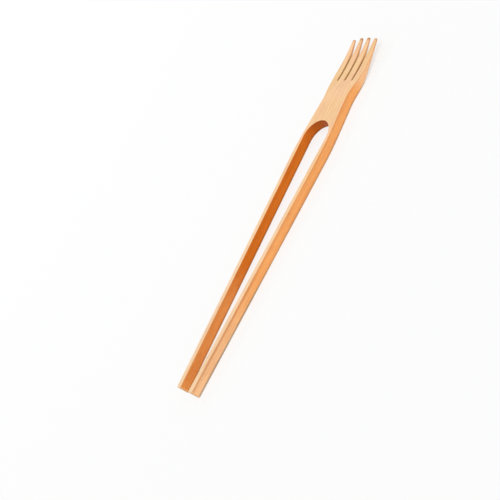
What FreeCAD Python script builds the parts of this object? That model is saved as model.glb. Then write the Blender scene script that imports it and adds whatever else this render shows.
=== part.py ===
import FreeCAD, Part
import math
import os

# Fork-and-chopstick tongs cut from one flat piece of wood, in millimetres.
# A four-tined fork stands at one end. A long slot splits the rest into two springy
# chopstick arms, which are pinched, so they close towards their ends.
# The piece lies on its flat back: +Z is the normal of its front face, +Y points along the
# tines, and the origin lies under the middle of its box.

# The blank
overall_length = 250.0         # from the ends of the arms to the longest tines
blank_thickness = 7.2

# The arms and the slot between them
arm_end_gap = 9.2              # between the arms at their ends
arm_end_width = 3.8
arm_end_radius = 0.9           # the corners of the arms' square ends, seen from the front
slot_width = 22.9              # across the round end of the slot
arm_root_width = 3.1           # at the shoulder, before that corner is rounded
head_length = 61.9             # from the round end of the slot to the tines' tips

# Corners of the outer edge, each measured before it is rounded
shoulder_from_tips = 79.3      # how far each corner lies from the tines' tips
shoulder_radius = 150.0
waist_width = 22.2
waist_from_tips = 43.5
waist_radius = 28.0
fork_width = 27.0
fork_shoulder_from_tips = 29.1
fork_shoulder_radius = 31.0
tips_width = 23.8              # across the outer tines at their tips

# The slits between the tines
slit_count = 3
slit_pitch = 7.05
slit_length = 31.7
slit_root_width = 1.3
flare_length = 12.5            # the last stretch, where the slits open towards the tips
flare_width = 1.9              # width of a slit where its flare starts
flare_radius = 30.0
tip_gap = 4.5                  # between two tines at their tips
tine_tip_radius = 1.1
outer_tine_setback = 0.9       # how much shorter the two outer tines are

# The scooped front of the fork and its thinned back
scoop_length = 38.0            # of the hollow without its lip; it ends at the tines' tips
scoop_depth = 1.5
scoop_lip_radius = 40.0        # the rounded lip that leads from the flat front into the hollow
thinned_back_length = 42.0
thinned_back_radius = 81.0     # the curve that leads from the flat back into the thinned one
tine_tip_thickness = 1.1

# Sanding
sanded_edge_radius = 0.45      # along every edge of the front and the back
largest_share = 0.45           # of a tine tip's width or thickness that one rounding may take

NEAR = 1e-6
ends_y = -overall_length / 2
tips_y = overall_length / 2


def tangent_arc(before, corner, after):
    """Start, middle and end of the arc that rounds a corner given as (x, y, radius)."""
    point = FreeCAD.Vector(corner[0], corner[1], 0)
    to_before = (FreeCAD.Vector(before[0], before[1], 0) - point).normalize()
    to_after = (FreeCAD.Vector(after[0], after[1], 0) - point).normalize()
    half_angle = to_before.getAngle(to_after) / 2
    setback = corner[2] / math.tan(half_angle)
    bisector = (to_before + to_after).normalize()
    to_middle = corner[2] / math.sin(half_angle) - corner[2]
    return point + to_before * setback, point + bisector * to_middle, point + to_after * setback


def rounded_outline(corners):
    """A closed wire through corners (x, y, radius), each rounded by a tangent arc."""
    arcs = []
    for i, corner in enumerate(corners):
        arcs.append(tangent_arc(corners[i - 1], corner, corners[(i + 1) % len(corners)]))
    edges = []
    for i, (start, middle, end) in enumerate(arcs):
        last_end = arcs[i - 1][2]
        if last_end.distanceToPoint(start) > NEAR:
            edges.append(Part.makeLine(last_end, start))
        if start.distanceToPoint(end) > NEAR:
            edges.append(Part.Arc(start, middle, end).toShape())
    return Part.Wire(edges)


def tangent_point(point, centre, radius, side):
    """Where a line from a point touches a circle, on the side +1 (anticlockwise) or -1."""
    reach = point - centre
    turn = side * math.acos(radius / reach.Length)
    angle = math.atan2(reach.y, reach.x) + turn
    return centre + FreeCAD.Vector(math.cos(angle), math.sin(angle), 0) * radius


def slot_corners():
    """The right half of the slot: its round end as one corner, and the arm end's inner corner."""
    end_x = arm_end_gap / 2
    radius = slot_width / 2
    crown_y = tips_y - head_length
    end = FreeCAD.Vector(end_x, ends_y, 0)
    touch = tangent_point(end, FreeCAD.Vector(0, crown_y - radius, 0), radius, 1)
    slope = (touch.x - end.x) / (touch.y - end.y)
    crown_x = end_x + (crown_y - ends_y) * slope
    return [(crown_x, crown_y, radius), (end_x, ends_y, arm_end_radius)]


def outer_corners():
    """The right half of the outer edge, from the arm's end to the outer tine's tip."""
    return [
        (arm_end_gap / 2 + arm_end_width, ends_y, arm_end_radius),
        (slot_width / 2 + arm_root_width, tips_y - shoulder_from_tips, shoulder_radius),
        (waist_width / 2, tips_y - waist_from_tips, waist_radius),
        (fork_width / 2, tips_y - fork_shoulder_from_tips, fork_shoulder_radius),
    ]


def slit_corners(centre_x):
    """One slit's corners: down its right side, round its root and up its left side."""
    root_y = tips_y - slit_length
    flare_y = tips_y - flare_length
    lean = (flare_width - slit_root_width) / 2 / (slit_length - flare_length)
    root_radius = slit_root_width / 2 / math.tan(math.pi / 4 - math.atan(lean) / 2)
    right = [(flare_width / 2, flare_y, flare_radius), (slit_root_width / 2, root_y, root_radius)]
    left = [(-x, y, radius) for x, y, radius in reversed(right)]
    return [(centre_x + x, y, radius) for x, y, radius in right + left]


def tine_tip_corners(inner_x, outer_x, setback):
    """The tip of one tine on the right, outer corner first."""
    radius = min(tine_tip_radius, largest_share * (outer_x - inner_x))
    return [(outer_x, tips_y - setback, radius), (inner_x, tips_y - setback, radius)]


def plan_corners():
    """Every corner of the outline, as one closed loop, symmetric about the Y axis."""
    right = slot_corners() + outer_corners()
    slit_x = (slit_count - 1) / 2 * slit_pitch
    outer_x = tips_width / 2
    setback = outer_tine_setback
    while slit_x > NEAR:
        right += tine_tip_corners(slit_x + tip_gap / 2, outer_x, setback)
        right += slit_corners(slit_x)
        outer_x = slit_x - tip_gap / 2
        setback = 0.0
        slit_x -= slit_pitch
    right += tine_tip_corners(tip_gap / 2, outer_x, setback)
    left = [(-x, y, radius) for x, y, radius in reversed(right)]
    return right + slit_corners(0.0) + left


def arc_between(centre, radius, start_angle, end_angle):
    """An arc seen from the side, given as points: its start, middle and end."""
    angles = (start_angle, (start_angle + end_angle) / 2, end_angle)
    return [centre + FreeCAD.Vector(math.cos(a), math.sin(a), 0) * radius for a in angles]


def scoop_arcs():
    """The hollow and its lip, seen from the side, from the tines' tips towards the arms."""
    radius = ((scoop_length / 2) ** 2 + scoop_depth ** 2) / (2 * scoop_depth)
    hollow = FreeCAD.Vector(tips_y - scoop_length / 2, blank_thickness - scoop_depth + radius, 0)
    lip_below = blank_thickness - scoop_lip_radius
    rise = hollow.y - lip_below
    run = math.sqrt((radius + scoop_lip_radius) ** 2 - rise ** 2)
    lip = FreeCAD.Vector(hollow.x - run, lip_below, 0)
    lean = math.atan2(rise, run)
    half_chord = math.asin(scoop_length / 2 / radius)
    return [
        arc_between(hollow, radius, half_chord - math.pi / 2, lean - math.pi),
        arc_between(lip, scoop_lip_radius, lean, math.pi / 2),
    ]


def thinned_back_arc():
    """The curve from the flat back into the thinned one, seen from the side."""
    start = tips_y - thinned_back_length
    centre = FreeCAD.Vector(start, thinned_back_radius, 0)
    tip = FreeCAD.Vector(tips_y, blank_thickness - tine_tip_thickness, 0)
    touch = tangent_point(tip, centre, thinned_back_radius, -1) - centre
    return arc_between(centre, thinned_back_radius, -math.pi / 2, math.atan2(touch.y, touch.x))


def side_profile():
    """The closed outline seen from the side, with Y along it and Z up."""
    back = thinned_back_arc()
    tip_back = FreeCAD.Vector(tips_y, blank_thickness - tine_tip_thickness, 0)
    hollow, lip = scoop_arcs()
    front_end = FreeCAD.Vector(ends_y, blank_thickness, 0)
    back_end = FreeCAD.Vector(ends_y, 0, 0)
    edges = [
        Part.makeLine(back_end, back[0]),
        Part.Arc(*back).toShape(),
        Part.makeLine(back[2], tip_back),
        Part.makeLine(tip_back, hollow[0]),
        Part.Arc(*hollow).toShape(),
        Part.Arc(*lip).toShape(),
        Part.makeLine(lip[2], front_end),
        Part.makeLine(front_end, back_end),
    ]
    return Part.Wire(edges)


def cut_blank():
    """The piece with sharp edges: the outline of its front, kept within its side profile."""
    plan = Part.Face(rounded_outline(plan_corners())).extrude(FreeCAD.Vector(0, 0, blank_thickness))
    reach = plan.BoundBox.XLength
    side = Part.Face(side_profile()).extrude(FreeCAD.Vector(0, 0, 2 * reach))
    lengthwise_and_up = FreeCAD.Rotation(FreeCAD.Vector(1, 1, 1), 120)
    side.Placement = FreeCAD.Placement(FreeCAD.Vector(-reach, 0, 0), lengthwise_and_up)
    return plan.common(side).removeSplitter()


def is_wall(face):
    """True for a face of the outline, whose normal lies level."""
    u_start, u_end, v_start, v_end = face.ParameterRange
    return abs(face.normalAt((u_start + u_end) / 2, (v_start + v_end) / 2).z) < NEAR


def sand_edges(shape):
    """Rounds each edge where a wall of the outline meets the front or the back."""
    edges = []
    for edge in shape.Edges:
        if len({is_wall(face) for face in shape.ancestorsOfType(edge, Part.Face)}) == 2:
            edges.append(edge)
    radius = min(sanded_edge_radius, largest_share * tine_tip_thickness)
    return shape.makeFillet(radius, edges).Solids[0]


tongs = sand_edges(cut_blank())
os.makedirs("parts", exist_ok=True)
tongs.exportStep("parts/fork_tongs.step")
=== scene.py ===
"""Wooden fork-and-chopstick tongs, finished and laid on a pale table."""

from collections import namedtuple
import math

import bmesh
import bpy
from bpy.props import FloatProperty, FloatVectorProperty, PointerProperty
from mathutils import Euler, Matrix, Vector


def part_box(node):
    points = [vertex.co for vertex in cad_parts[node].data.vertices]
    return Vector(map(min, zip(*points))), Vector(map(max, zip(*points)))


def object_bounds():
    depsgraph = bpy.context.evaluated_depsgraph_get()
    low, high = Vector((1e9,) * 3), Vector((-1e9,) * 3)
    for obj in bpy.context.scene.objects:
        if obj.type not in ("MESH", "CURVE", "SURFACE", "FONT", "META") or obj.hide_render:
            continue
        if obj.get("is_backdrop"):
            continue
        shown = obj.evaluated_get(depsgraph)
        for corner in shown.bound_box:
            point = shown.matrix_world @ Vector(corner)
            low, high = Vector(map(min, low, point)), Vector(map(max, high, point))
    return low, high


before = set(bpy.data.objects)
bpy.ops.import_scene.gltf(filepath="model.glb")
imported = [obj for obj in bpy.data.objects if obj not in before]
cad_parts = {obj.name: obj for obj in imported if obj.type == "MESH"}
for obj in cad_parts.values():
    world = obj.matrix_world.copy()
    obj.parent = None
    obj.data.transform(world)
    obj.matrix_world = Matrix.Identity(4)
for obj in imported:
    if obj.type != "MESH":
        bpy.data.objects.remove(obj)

bl_info = {
    "name": "Wooden Tongs",
    "version": (1, 0, 0),
    "blender": (4, 5, 0),
    "location": "View3D > Sidebar > Tongs",
    "description": "Finishes wooden fork-and-chopstick tongs and lays them on a pale table",
    "category": "Object",
}

TONGS = "fork_tongs"
MILLIMETRES = 1000.0
WHITE = (1.0, 1.0, 1.0, 1.0)

# Each pair below runs from where a finish or a mark starts to where it is whole.

# Along the piece, in metres from its middle towards the tines
OFF_ARM_ENDS = (-0.1245, -0.1235)
# Painted light: the sides near the arms' ends are painted paler.
PAINTED_LIGHT_ARM_ENDS = (-0.040, -0.105)
# Painted shade: the slot's walls are painted less dark towards the arms' ends.
PALER_SLOT = (-0.035, -0.072)
DARKER_LINES_ON_ARMS = (-0.030, -0.060)
# Painted sheen: the arms' fronts are painted paler.
SHEEN_ON_ARM_FRONTS = (0.045, -0.045)
# Painted shade: the slot's round end is painted darker.
ROUND_END = (0.047, 0.056)
BELOW_NECK = (0.068, 0.064)
PALER_FORK_SIDES = (0.086, 0.096)
PAST_SLIT_ROOTS = (0.0915, 0.0925)

# Back from the tines' tips, in metres, where the slits narrow to saw cuts, painted in shade
SAW_CUTS = (0.009, 0.019)

# From the middle plane, in metres, inside the outer tines
WITHIN_SLITS = (0.0103, 0.0098)

# From the front or from the back, in widths of a dark line along the sides; the line along the back is
# painted shade
FRONT_LINE = (2.0, 1.0)
BACK_SHADE_LINE = (1.5, 1.0)

# Back from the tines' tips, in lengths of the dark tips
DARK_TIPS = (1.0, 0.3)

# By the share of the surface's normal that points up or down, along the piece, or into the slot
SIDE_WALLS = (0.80, 0.35)
PAST_SIDE_WALLS = (0.12, 0.35)
SHORT_OF_FACES = (0.96, 0.70)
END_GRAIN = (0.10, 0.85)
INTO_SLOT = (0.2, 0.6)
BACK_TO_FRONT = (-0.1, 0.1)

# By the level of the noise
CLEAR_RINGS = (0.36, 0.60)
DARK_FIBRES = (0.42, 0.75)
DEEP_PORES = (0.66, 0.76)
ROSY_PATCHES = (0.38, 0.62)

# By the share of the way from one growth ring to the next
RING_DARKENS = (0.25, 0.90)
RING_ENDS = (1.0, 0.93)

# Bumps to a millimetre across, along and through the wood, finer detail and its roughness
Noise = namedtuple("Noise", "bumps detail roughness")
WANDER = Noise((0.05, 0.014, 0.05), 1.0, 0.5)
FADING = Noise((0.22, 0.030, 0.22), 1.0, 0.5)
FIBRES = Noise((2.4, 0.06, 2.4), 4.0, 0.62)
PORES = Noise((3.2, 0.22, 3.2), 1.0, 0.4)
MOTTLING = Noise((0.16, 0.045, 0.16), 2.0, 0.5)
PATCHES = Noise((0.10, 0.055, 0.10), 2.0, 0.5)

# How far the grain wanders, in millimetres for a full swing of the noise about its middle
WANDER_REACH = (3.0, 0.0, 3.0)
NOISE_MIDDLE = (0.5, 0.5, 0.5)

# The level above which the mottling darkens nothing, and how fast it darkens below that
PALE_MOTTLING = 0.62
MOTTLING_GAIN = 4.0

# The pith, in millimetres to the left of the middle and below the back, and its slant
PITH_ASIDE = 24.0
PITH_BELOW = 31.0
PITH_SLANT = 0.022

# How high each mark stands, as a share of the relief
RING_HEIGHT = 0.25
FIBRE_HEIGHT = -0.6
PORE_HEIGHT = -0.9
RELIEF_STRENGTH = 0.6

# The gloss of the wood: its roughness between two levels of the fibres, and its sheen
GLOSSY_FIBRES = (0.3, 0.7)
ROUGHNESS = (0.36, 0.48)
OILED_SHEEN = 0.5
SLOT_SHEEN = 0.12
WOOD_IOR = 1.5

# Between the tongs and the table, and from the camera to the nearest that it sees, in metres
TABLE_GAP = 0.0001
NEAREST_SEEN = 0.01

# The camera's sensor, in millimetres
SENSOR_WIDTH = 36.0


class WoodSettings(bpy.types.PropertyGroup):
    """The tones and the grain of the wood."""

    face_tone: FloatVectorProperty(
        name="Face", description="Tone of the flat front and back",
        subtype="COLOR", size=4, min=0.0, max=1.0, default=(0.98, 0.645, 0.32, 1.0),
    )
    rosy_tone: FloatVectorProperty(
        name="Rosy patches", description="Tone of the rosier patches of the front and the back",
        subtype="COLOR", size=4, min=0.0, max=1.0, default=(0.99, 0.615, 0.34, 1.0),
    )
    # Painted sheen: the arms' front and back are painted paler.
    arm_sheen_tone: FloatVectorProperty(
        name="Arms' front", description="Tone of the front and the back of the arms, paler from glare",
        subtype="COLOR", size=4, min=0.0, max=1.0, default=(0.94, 0.65, 0.375, 1.0),
    )
    # The sides' deeper orange is partly their own tone and partly painted shade of sides turned from the
    # light.
    wall_tone: FloatVectorProperty(
        name="Sides", description="Tone of the sawn and sanded sides",
        subtype="COLOR", size=4, min=0.0, max=1.0, default=(0.95, 0.41, 0.11, 1.0),
    )
    # Paler sides at the fork; near the arms' ends this paleness is painted light.
    pale_side_tone: FloatVectorProperty(
        name="Paler sides", description="Tone of the sides at the fork and at the arms' ends",
        subtype="COLOR", size=4, min=0.0, max=1.0, default=(0.95, 0.54, 0.26, 1.0),
    )
    # Painted shade: the slot's walls are painted deep brown.
    slot_shade_tone: FloatVectorProperty(
        name="Slot", description="Tone of the slot's walls, shaded by the recess",
        subtype="COLOR", size=4, min=0.0, max=1.0, default=(0.74, 0.20, 0.012, 1.0),
    )
    # Painted shade, less deep near the arms' ends.
    slot_end_shade_tone: FloatVectorProperty(
        name="Slot near the ends", description="Tone of the slot's walls near the arms' ends",
        subtype="COLOR", size=4, min=0.0, max=1.0, default=(0.88, 0.36, 0.095, 1.0),
    )
    # Painted shade, deepest in the slot's round end.
    round_end_shade: FloatVectorProperty(
        name="Slot's round end", description="What the shaded round end multiplies the slot's tone by",
        subtype="COLOR", size=4, min=0.0, max=1.0, default=(0.90, 0.82, 0.70, 1.0),
    )
    # Painted shade: the saw cuts between the tines are painted greyish brown.
    slit_shade_tone: FloatVectorProperty(
        name="Slits", description="Tone of the saw cuts between the tines",
        subtype="COLOR", size=4, min=0.0, max=1.0, default=(0.62, 0.38, 0.16, 1.0),
    )
    flare_share: FloatProperty(
        name="Slits at the tips", description="How much of the slits' tone is left where they open",
        subtype="FACTOR", min=0.0, max=1.0, default=0.3,
    )
    end_grain_tone: FloatVectorProperty(
        name="End grain", description="What end grain multiplies the tone by",
        subtype="COLOR", size=4, min=0.0, max=1.0, default=(0.68, 0.60, 0.45, 1.0),
    )
    edge_tone: FloatVectorProperty(
        name="Edges", description="What edges, the front line and the tips multiply the tone by",
        subtype="COLOR", size=4, min=0.0, max=1.0, default=(0.62, 0.40, 0.24, 1.0),
    )
    dark_tone: FloatVectorProperty(
        name="Dark grain", description="What the darkest grain multiplies the tone by",
        subtype="COLOR", size=4, min=0.0, max=1.0, default=(0.66, 0.42, 0.24, 1.0),
    )
    ring_spacing: FloatProperty(
        name="Ring spacing", description="From one growth ring to the next",
        subtype="DISTANCE", unit="LENGTH", min=0.0002, default=0.0019,
    )
    ring_amount: FloatProperty(
        name="Rings", description="How dark the growth rings are",
        subtype="FACTOR", min=0.0, max=1.0, default=0.16,
    )
    fibre_amount: FloatProperty(
        name="Fibres", description="How dark the fine fibres are",
        subtype="FACTOR", min=0.0, max=1.0, default=0.30,
    )
    pore_amount: FloatProperty(
        name="Pores", description="How dark the short pores are",
        subtype="FACTOR", min=0.0, max=1.0, default=0.45,
    )
    mottle_amount: FloatProperty(
        name="Mottling", description="How much the tone drifts over the piece",
        subtype="FACTOR", min=0.0, max=1.0, default=0.16,
    )
    front_edge_amount: FloatProperty(
        name="Front edges", description="How dark the sanded edges of the front are",
        subtype="FACTOR", min=0.0, max=1.0, default=0.30,
    )
    # Painted shade: the back edges are painted darker.
    back_edge_shade: FloatProperty(
        name="Back edges", description="How dark the sanded edges of the back are",
        subtype="FACTOR", min=0.0, max=1.0, default=0.85,
    )
    front_line_amount: FloatProperty(
        name="Front line", description="How dark the handled line along the sides' front is",
        subtype="FACTOR", min=0.0, max=1.0, default=0.24,
    )
    arm_line_amount: FloatProperty(
        name="Front line on the arms", description="How dark that line is on the arms' lower half",
        subtype="FACTOR", min=0.0, max=1.0, default=0.55,
    )
    # Painted shade: the line along the back of the sides.
    back_shade_tone: FloatVectorProperty(
        name="Back line", description="What the handled line along the back multiplies the tone by",
        subtype="COLOR", size=4, min=0.0, max=1.0, default=(0.54, 0.65, 0.81, 1.0),
    )
    back_shade_amount: FloatProperty(
        name="Back line's strength",
        description="How dark that line is in the slot and above the arms' lower half",
        subtype="FACTOR", min=0.0, max=1.0, default=0.60,
    )
    line_width: FloatProperty(
        name="Line width", description="Width of the handled lines",
        subtype="DISTANCE", unit="LENGTH", min=0.0, default=0.0011, precision=4,
    )
    tip_amount: FloatProperty(
        name="Tine tips", description="How dark the handled tips of the tines are",
        subtype="FACTOR", min=0.0, max=1.0, default=0.85,
    )
    tip_length: FloatProperty(
        name="Dark tips", description="How far the dark tips of the tines reach",
        subtype="DISTANCE", unit="LENGTH", min=0.0001, default=0.0026, precision=4,
    )
    relief: FloatProperty(
        name="Grain relief", description="How deep the grain is felt",
        subtype="DISTANCE", unit="LENGTH", min=0.0, default=0.00006, precision=6,
    )
    arm_root: FloatProperty(
        name="Arm root", description="Where along the piece the arms leave the neck",
        subtype="DISTANCE", unit="LENGTH", default=0.0517,
    )
    arm_lean: FloatProperty(
        name="Arm lean", description="How far each arm closes for each metre of its length",
        min=0.0, default=0.039,
    )


class StageSettings(bpy.types.PropertyGroup):
    """The table, the lamps and the camera."""

    table_tone: FloatVectorProperty(
        name="Table", description="Tone of the table top",
        subtype="COLOR", size=4, min=0.0, max=1.0, default=(0.97, 0.975, 0.975, 1.0),
    )
    backdrop_tone: FloatVectorProperty(
        name="Backdrop", description="Tone that the camera sees round and behind the table",
        subtype="COLOR", size=4, min=0.0, max=1.0, default=(0.955, 0.957, 0.957, 1.0),
    )
    table_width: FloatProperty(
        name="Table width", description="Side of the square table top",
        subtype="DISTANCE", unit="LENGTH", min=1.0, default=40.0,
    )
    shadow_lift: FloatProperty(
        name="Shadow lift", description="How much paler the shadow on the table looks",
        subtype="FACTOR", min=0.0, max=1.0, default=0.6,
    )
    sky_strength: FloatProperty(
        name="Room light", description="Strength of the even light from all round",
        min=0.0, default=0.56,
    )
    key_strength: FloatProperty(
        name="Main light", description="Strength of the main light, in watts to a square metre",
        min=0.0, default=1.45,
    )
    key_direction: FloatVectorProperty(
        name="Main light from", description="Direction that the main light comes from",
        subtype="DIRECTION", size=3, default=(0.52, -0.30, 0.80),
    )
    key_spread: FloatProperty(
        name="Main light's spread", description="How wide the main light looks",
        subtype="ANGLE", unit="ROTATION", min=0.0, default=math.radians(40),
    )
    gloss_power: FloatProperty(
        name="Gloss lamp", description="Power of the soft lamp that puts a sheen on the arms",
        subtype="POWER", unit="POWER", min=0.0, default=1.0,
    )
    gloss_place: FloatVectorProperty(
        name="Gloss lamp's place", description="Where the soft lamp hangs",
        subtype="TRANSLATION", unit="LENGTH", size=3, default=(-0.90, 0.08, 0.61),
    )
    gloss_width: FloatProperty(
        name="Gloss lamp's width", description="Width of the soft lamp",
        subtype="DISTANCE", unit="LENGTH", min=0.01, default=0.28,
    )
    camera_place: FloatVectorProperty(
        name="Camera", description="Where the camera stands",
        subtype="TRANSLATION", unit="LENGTH", size=3, default=(0.5118, -0.1407, 0.3445),
    )
    camera_turn: FloatVectorProperty(
        name="Camera's turn", description="How the camera is turned",
        subtype="EULER", unit="ROTATION", size=3, default=(0.71758, 0.77638, 0.68467),
    )
    camera_lens: FloatProperty(
        name="Lens", description="Focal length, in millimetres on a 36 mm sensor",
        min=1.0, default=73.44,
    )


def put(tree, kind, inputs=None, **settings):
    """Adds a node and fills its inputs, each with a value or with another node's output."""
    node = tree.nodes.new(kind)
    for name, value in settings.items():
        setattr(node, name, value)
    for key, value in (inputs or {}).items():
        if isinstance(value, bpy.types.NodeSocket):
            tree.links.new(value, node.inputs[key])
        else:
            node.inputs[key].default_value = value
    return node


def calculate(tree, operation, *values, clamp=False):
    """One step of arithmetic on numbers."""
    return put(tree, "ShaderNodeMath", dict(enumerate(values)), operation=operation,
               use_clamp=clamp).outputs[0]


def times(tree, first, *others):
    """Numbers multiplied together."""
    for other in others:
        first = calculate(tree, "MULTIPLY", first, other)
    return first


def change_place(tree, operation, place, other):
    """One step of arithmetic on a place, axis by axis."""
    return put(tree, "ShaderNodeVectorMath", {0: place, 1: other}, operation=operation).outputs[0]


def split(tree, place):
    """The three numbers of a place or a direction."""
    return put(tree, "ShaderNodeSeparateXYZ", {0: place}).outputs[:3]


def ease(tree, value, start, end):
    """Runs smoothly from 0 at start to 1 at end, whichever of the two is lower."""
    low, high = min(start, end), max(start, end)
    to_low, to_high = (0.0, 1.0) if start < end else (1.0, 0.0)
    return put(tree, "ShaderNodeMapRange", {"Value": value, "From Min": low, "From Max": high,
               "To Min": to_low, "To Max": to_high}, interpolation_type="SMOOTHSTEP").outputs[0]


def between(tree, value, low, high, start=0.0, end=1.0):
    """Runs evenly from low, where the value is start, to high, where it is end."""
    return put(tree, "ShaderNodeMapRange", {"Value": value, "From Min": start, "From Max": end,
               "To Min": low, "To Max": high}).outputs[0]


def blend_tones(tree, amount, first, second, how="MIX"):
    """Mixes two tones by an amount."""
    return put(tree, "ShaderNodeMix", {0: amount, 6: first, 7: second}, data_type="RGBA",
               blend_type=how).outputs[2]


def darken(tree, amount, tone, factor):
    """Multiplies a tone by a darker one, by an amount."""
    return blend_tones(tree, amount, tone, factor, "MULTIPLY")


def cloud(tree, place, noise, output="Fac"):
    """Soft noise over the wood, as one number or as three."""
    bumps = change_place(tree, "MULTIPLY", place, noise.bumps)
    return put(tree, "ShaderNodeTexNoise", {"Vector": bumps, "Scale": 1.0, "Detail": noise.detail,
               "Roughness": noise.roughness}).outputs[output]


def grain_place(tree, wood):
    """Millimetres across, along and through the grain, which wanders and follows the arms' lean."""
    metres = put(tree, "ShaderNodeTexCoord").outputs["Object"]
    across, along, through = split(tree, change_place(tree, "MULTIPLY", metres, (MILLIMETRES,) * 3))
    below_root = calculate(tree, "SUBTRACT", wood.arm_root * MILLIMETRES, along)
    lean = times(tree, calculate(tree, "MAXIMUM", below_root, 0.0), wood.arm_lean)
    across = calculate(tree, "MULTIPLY_ADD", calculate(tree, "SIGN", across), lean, across)
    straight = put(tree, "ShaderNodeCombineXYZ", {0: across, 1: along, 2: through}).outputs[0]
    wander = change_place(tree, "SUBTRACT", cloud(tree, straight, WANDER, "Color"), NOISE_MIDDLE)
    return change_place(tree, "ADD", straight, change_place(tree, "MULTIPLY", wander, WANDER_REACH))


def growth_rings(tree, wood, place):
    """Dark lines round a pith below the piece and to its left. They fade here and there."""
    across, along, through = split(tree, place)
    askew = calculate(tree, "MULTIPLY_ADD", along, PITH_SLANT, PITH_ASIDE)
    from_pith = put(tree, "ShaderNodeCombineXYZ", {0: calculate(tree, "ADD", across, askew),
                    1: calculate(tree, "ADD", through, PITH_BELOW)}).outputs[0]
    radius = put(tree, "ShaderNodeVectorMath", {0: from_pith}, operation="LENGTH").outputs[1]
    turns = calculate(tree, "DIVIDE", radius, wood.ring_spacing * MILLIMETRES)
    phase = calculate(tree, "FRACT", turns)
    clear = ease(tree, cloud(tree, place, FADING), *CLEAR_RINGS)
    return times(tree, ease(tree, phase, *RING_DARKENS), ease(tree, phase, *RING_ENDS), clear)


Grain = namedtuple("Grain", "rings fibres pores mottling patches")


def wood_grain(tree, wood):
    """The marks in the wood, each as a number for every spot of the surface."""
    place = grain_place(tree, wood)
    return Grain(
        rings=growth_rings(tree, wood, place),
        fibres=cloud(tree, place, FIBRES),
        pores=ease(tree, cloud(tree, place, PORES), *DEEP_PORES),
        mottling=cloud(tree, place, MOTTLING),
        patches=ease(tree, cloud(tree, place, PATCHES), *ROSY_PATCHES),
    )


Spot = namedtuple("Spot", "across along height faces_across faces_along faces_up")


def surface_spot(tree):
    """Where a spot of the surface lies, in metres, and which way it faces."""
    place = put(tree, "ShaderNodeTexCoord").outputs["Object"]
    normal = put(tree, "ShaderNodeNewGeometry").outputs["Normal"]
    return Spot(*split(tree, place), *split(tree, normal))


def slot_share(tree, spot):
    """1 on the walls of the slot, which face the middle plane or the arms' ends: where the tone is
    painted shade.
    """
    outward = times(tree, spot.faces_across, calculate(tree, "SIGN", spot.across))
    inward = times(tree, outward, -1.0)
    towards_ends = times(tree, spot.faces_along, -1.0)
    into_slot = ease(tree, calculate(tree, "MAXIMUM", inward, towards_ends), *INTO_SLOT)
    return times(tree, into_slot, ease(tree, spot.along, *BELOW_NECK),
                 ease(tree, spot.along, *OFF_ARM_ENDS))


def slit_share(tree, wood, spot):
    """1 between the tines where the slits are saw cuts, and less where they open: the share of the
    slits' painted shade.
    """
    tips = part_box(TONGS)[1].y
    from_middle = calculate(tree, "ABSOLUTE", spot.across)
    in_saw_cut = ease(tree, spot.along, *(tips - metres for metres in SAW_CUTS))
    return times(tree, ease(tree, spot.along, *PAST_SLIT_ROOTS),
                 ease(tree, from_middle, *WITHIN_SLITS),
                 between(tree, in_saw_cut, wood.flare_share, 1.0))


def edge_lines(tree, wood, spot):
    """1 on the dark line along the front of the sides, and on the painted shade line along their back.
    """
    back, front = (corner.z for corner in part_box(TONGS))
    off_ends = ease(tree, spot.along, *OFF_ARM_ENDS)
    at_front = (front - widths * wood.line_width for widths in FRONT_LINE)
    at_back = (back + widths * wood.line_width for widths in BACK_SHADE_LINE)
    return (times(tree, ease(tree, spot.height, *at_front), off_ends),
            times(tree, ease(tree, spot.height, *at_back), off_ends))


def side_tone(tree, wood, spot, front_line, back_shade_line):
    """The sides, paler at the fork and with painted light near the arms' ends, with a dark line along
    the front and painted shade along the back.
    """
    # Paler at the fork; near the arms' ends the paleness is painted light.
    pale_share = calculate(tree, "MAXIMUM", ease(tree, spot.along, *PALER_FORK_SIDES),
                       ease(tree, spot.along, *PAINTED_LIGHT_ARM_ENDS))
    darker = ease(tree, spot.along, *DARKER_LINES_ON_ARMS)
    front_amount = between(tree, darker, wood.front_line_amount, wood.arm_line_amount)
    back_amount = between(tree, darker, wood.back_shade_amount, 1.0)
    tone = blend_tones(tree, pale_share, wood.wall_tone, wood.pale_side_tone)
    tone = darken(tree, times(tree, front_line, front_amount), tone, wood.edge_tone)
    # Painted shade along the back of the sides.
    return darken(tree, times(tree, back_shade_line, back_amount), tone, wood.back_shade_tone)


def slot_shade_tone(tree, wood, spot, back_shade_line):
    """The slot's walls in painted shade, deepest at the round end and paler near the arms' ends."""
    tone = blend_tones(tree, ease(tree, spot.along, *PALER_SLOT), wood.slot_shade_tone,
                       wood.slot_end_shade_tone)
    tone = darken(tree, ease(tree, spot.along, *ROUND_END), tone, wood.round_end_shade)
    # Painted shade along the back of the slot's walls.
    return darken(tree, times(tree, back_shade_line, wood.back_shade_amount), tone, wood.back_shade_tone)


def face_tone(tree, wood, spot, patches):
    """The front and the back, with rosy patches, and paler on the arms: a painted sheen."""
    tone = blend_tones(tree, patches, wood.face_tone, wood.rosy_tone)
    # Painted sheen: the arms are painted paler.
    return blend_tones(tree, ease(tree, spot.along, *SHEEN_ON_ARM_FRONTS), tone, wood.arm_sheen_tone)


def edge_share(tree, wood, spot, upright):
    """How dark the sanded edges are, which turn from the sides to the front or the back; on the back
    edges the darkening is painted shade.
    """
    on_edge = times(tree, ease(tree, upright, *PAST_SIDE_WALLS),
                    ease(tree, upright, *SHORT_OF_FACES))
    amount = between(tree, spot.faces_up, wood.back_edge_shade, wood.front_edge_amount,
                     *BACK_TO_FRONT)
    return times(tree, on_edge, amount)


def tip_share(tree, wood, spot):
    """How dark the tips of the tines are."""
    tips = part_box(TONGS)[1].y
    at_tips = ease(tree, spot.along, *(tips - lengths * wood.tip_length for lengths in DARK_TIPS))
    return times(tree, at_tips, wood.tip_amount)


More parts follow.
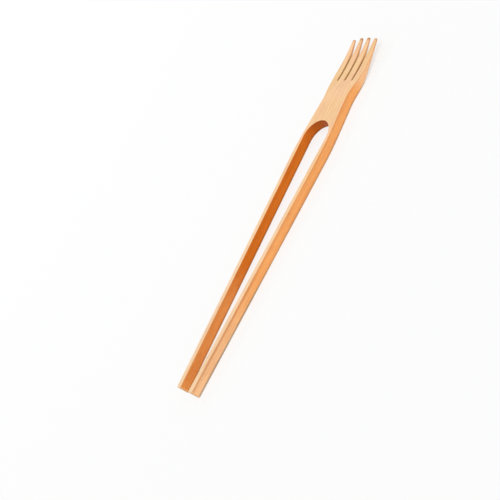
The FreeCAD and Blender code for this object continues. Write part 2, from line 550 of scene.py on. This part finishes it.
def grain_darkness(tree, wood, grain):
    """How dark the rings, the mottling, the fibres and the pores make a spot together."""
    below_pale = calculate(tree, "SUBTRACT", PALE_MOTTLING, grain.mottling, clamp=True)
    drift = times(tree, below_pale, wood.mottle_amount * MOTTLING_GAIN)
    streaks = times(tree, ease(tree, grain.fibres, *DARK_FIBRES), wood.fibre_amount)
    darkness = calculate(tree, "ADD", times(tree, grain.rings, wood.ring_amount), drift)
    darkness = calculate(tree, "ADD", darkness, streaks)
    return calculate(tree, "MULTIPLY_ADD", grain.pores, wood.pore_amount, darkness, clamp=True)


def wood_tone(tree, wood, spot, grain, in_slot):
    """The tone of each spot: the tone of its surface with its painted light and shade, darkened at the
    end grain, the edges and the tips, and by the grain.
    """
    front_line, back_shade_line = edge_lines(tree, wood, spot)
    side = side_tone(tree, wood, spot, front_line, back_shade_line)
    # Painted shade on the slot's walls.
    side = blend_tones(tree, in_slot, side, slot_shade_tone(tree, wood, spot, back_shade_line))
    # Painted shade in the slits.
    side = blend_tones(tree, slit_share(tree, wood, spot), side, wood.slit_shade_tone)
    upright = calculate(tree, "ABSOLUTE", spot.faces_up)
    on_side = ease(tree, upright, *SIDE_WALLS)
    # The sides' tone is partly painted shade.
    tone = blend_tones(tree, on_side, face_tone(tree, wood, spot, grain.patches), side)
    on_end = ease(tree, calculate(tree, "ABSOLUTE", spot.faces_along), *END_GRAIN)
    tone = darken(tree, on_end, tone, wood.end_grain_tone)
    # On the back edges this darkening is painted shade.
    tone = darken(tree, edge_share(tree, wood, spot, upright), tone, wood.edge_tone)
    tone = darken(tree, tip_share(tree, wood, spot), tone, wood.edge_tone)
    return darken(tree, grain_darkness(tree, wood, grain), tone, wood.dark_tone)


def grain_relief(tree, wood, grain):
    """The normals of the felt grain: the rings stand proud, the fibres and the pores are sunk."""
    fibres = times(tree, grain.fibres, FIBRE_HEIGHT)
    height = calculate(tree, "MULTIPLY_ADD", grain.pores, PORE_HEIGHT, fibres)
    height = calculate(tree, "MULTIPLY_ADD", grain.rings, RING_HEIGHT, height)
    return put(tree, "ShaderNodeBump", {"Strength": RELIEF_STRENGTH, "Distance": wood.relief,
               "Height": height}).outputs[0]


def emptied_tree(owner):
    """The node tree of a material or a world, with nothing in it."""
    owner.use_nodes = True
    owner.node_tree.nodes.clear()
    return owner.node_tree


def wood_material(wood):
    """Fine, straight-grained wood, sanded and oiled."""
    material = bpy.data.materials.new("sanded_wood")
    tree = emptied_tree(material)
    spot = surface_spot(tree)
    grain = wood_grain(tree, wood)
    in_slot = slot_share(tree, spot)
    shader = put(tree, "ShaderNodeBsdfPrincipled", {
        "Base Color": wood_tone(tree, wood, spot, grain, in_slot),
        "Roughness": between(tree, grain.fibres, *ROUGHNESS, *GLOSSY_FIBRES),
        "Normal": grain_relief(tree, wood, grain),
        "IOR": WOOD_IOR,
        "Specular IOR Level": between(tree, in_slot, OILED_SHEEN, SLOT_SHEEN),
    }).outputs[0]
    put(tree, "ShaderNodeOutputMaterial", {"Surface": shader})
    return material


def seen_by_camera(tree):
    """1 for what is seen straight, in a gloss or through glass, and 0 for the light that it casts."""
    path = put(tree, "ShaderNodeLightPath").outputs
    seen = calculate(tree, "MAXIMUM", path["Is Camera Ray"], path["Is Glossy Ray"])
    return calculate(tree, "MAXIMUM", seen, path["Is Transmission Ray"])


def table_material(stage):
    """Plain pale paint, on which the camera sees a paler shadow."""
    material = bpy.data.materials.new("pale_table")
    tree = emptied_tree(material)
    lit = put(tree, "ShaderNodeBsdfDiffuse", {"Color": stage.table_tone}).outputs[0]
    white = put(tree, "ShaderNodeEmission", {"Color": WHITE}).outputs[0]
    share = times(tree, seen_by_camera(tree), stage.shadow_lift)
    shader = put(tree, "ShaderNodeMixShader", {0: share, 1: lit, 2: white}).outputs[0]
    put(tree, "ShaderNodeOutputMaterial", {"Surface": shader})
    return material


def lay_table(stage):
    """A plain table top just under the tongs."""
    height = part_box(TONGS)[0].z - TABLE_GAP
    sheet = bmesh.new()
    bmesh.ops.create_grid(sheet, x_segments=1, y_segments=1, size=stage.table_width / 2)
    bmesh.ops.translate(sheet, verts=sheet.verts, vec=(0.0, 0.0, height))
    mesh = bpy.data.meshes.new("table_top")
    sheet.to_mesh(mesh)
    sheet.free()
    mesh.materials.append(table_material(stage))
    table = bpy.data.objects.new("table_top", mesh)
    bpy.context.scene.collection.objects.link(table)
    table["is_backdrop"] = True


def light_room(stage):
    """Even white light from all round, where the camera sees the backdrop's tone instead."""
    world = bpy.data.worlds.new("pale_room")
    bpy.context.scene.world = world
    tree = emptied_tree(world)
    light = put(tree, "ShaderNodeBackground", {"Strength": stage.sky_strength,
                "Color": WHITE}).outputs[0]
    backdrop = put(tree, "ShaderNodeBackground", {"Color": stage.backdrop_tone}).outputs[0]
    both = put(tree, "ShaderNodeMixShader", {0: seen_by_camera(tree), 1: light,
               2: backdrop}).outputs[0]
    put(tree, "ShaderNodeOutputWorld", {"Surface": both})


def hang_lamp(name, kind, place, target, **settings):
    """A lamp that the camera doesn't see, turned from its place towards a target."""
    lamp = bpy.data.lights.new(name, kind)
    for key, value in settings.items():
        setattr(lamp, key, value)
    holder = bpy.data.objects.new(name, lamp)
    bpy.context.scene.collection.objects.link(holder)
    holder.location = place
    holder.rotation_euler = (target - place).to_track_quat("-Z", "Y").to_euler()
    holder.visible_camera = False


def set_camera(stage):
    """The camera, above the piece and to the right of it."""
    camera = bpy.data.cameras.new("camera")
    camera.lens = stage.camera_lens
    camera.sensor_width = SENSOR_WIDTH
    camera.clip_start = NEAREST_SEEN
    holder = bpy.data.objects.new("camera", camera)
    bpy.context.scene.collection.objects.link(holder)
    holder.location = stage.camera_place
    holder.rotation_euler = Euler(stage.camera_turn)
    bpy.context.scene.camera = holder


class TONGS_OT_finish_wood(bpy.types.Operator):
    """Give the tongs their sanded and oiled wood"""

    bl_idname = "tongs.finish_wood"
    bl_label = "Finish the wood"

    def execute(self, context):
        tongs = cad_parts[TONGS]
        material = wood_material(context.scene.tongs_wood)
        for held in tongs.material_slots:
            held.material = material
        return {"FINISHED"}


class TONGS_OT_set_stage(bpy.types.Operator):
    """Lay the pale table, and set up the lamps and the camera"""

    bl_idname = "tongs.set_stage"
    bl_label = "Set the stage"

    def execute(self, context):
        stage = context.scene.tongs_stage
        middle = Vector((0.0, 0.0, 0.0))
        lay_table(stage)
        light_room(stage)
        hang_lamp("main_light", "SUN", Vector(stage.key_direction).normalized(), middle,
                  energy=stage.key_strength, angle=stage.key_spread)
        hang_lamp("gloss_lamp", "AREA", Vector(stage.gloss_place), middle,
                  shape="DISK", size=stage.gloss_width, energy=stage.gloss_power)
        set_camera(stage)
        context.scene.view_settings.view_transform = "Standard"
        return {"FINISHED"}


class TONGS_PT_sidebar(bpy.types.Panel):
    """The steps of finishing the tongs, with their settings"""

    bl_idname = "TONGS_PT_sidebar"
    bl_label = "Wooden tongs"
    bl_space_type = "VIEW_3D"
    bl_region_type = "UI"
    bl_category = "Tongs"

    def draw(self, context):
        for operator, settings in (
            (TONGS_OT_finish_wood, context.scene.tongs_wood),
            (TONGS_OT_set_stage, context.scene.tongs_stage),
        ):
            box = self.layout.box()
            box.operator(operator.bl_idname)
            for name in settings.bl_rna.properties.keys():
                if name not in {"rna_type", "name"}:
                    box.prop(settings, name)


CLASSES = (
    WoodSettings,
    StageSettings,
    TONGS_OT_finish_wood,
    TONGS_OT_set_stage,
    TONGS_PT_sidebar,
)


def register():
    for kind in CLASSES:
        bpy.utils.register_class(kind)
    bpy.types.Scene.tongs_wood = PointerProperty(type=WoodSettings)
    bpy.types.Scene.tongs_stage = PointerProperty(type=StageSettings)


def unregister():
    del bpy.types.Scene.tongs_stage
    del bpy.types.Scene.tongs_wood
    for kind in reversed(CLASSES):
        bpy.utils.unregister_class(kind)


def box_numbers():
    """The shown object's box as plain lists."""
    bpy.context.view_layer.update()
    return [list(corner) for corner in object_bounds()]


def main():
    cad_box = box_numbers()
    register()
    bpy.ops.tongs.finish_wood()
    bpy.ops.tongs.set_stage()
    {"cad_box": cad_box, "visual_box": box_numbers()}


if __name__ == "__main__":
    main()
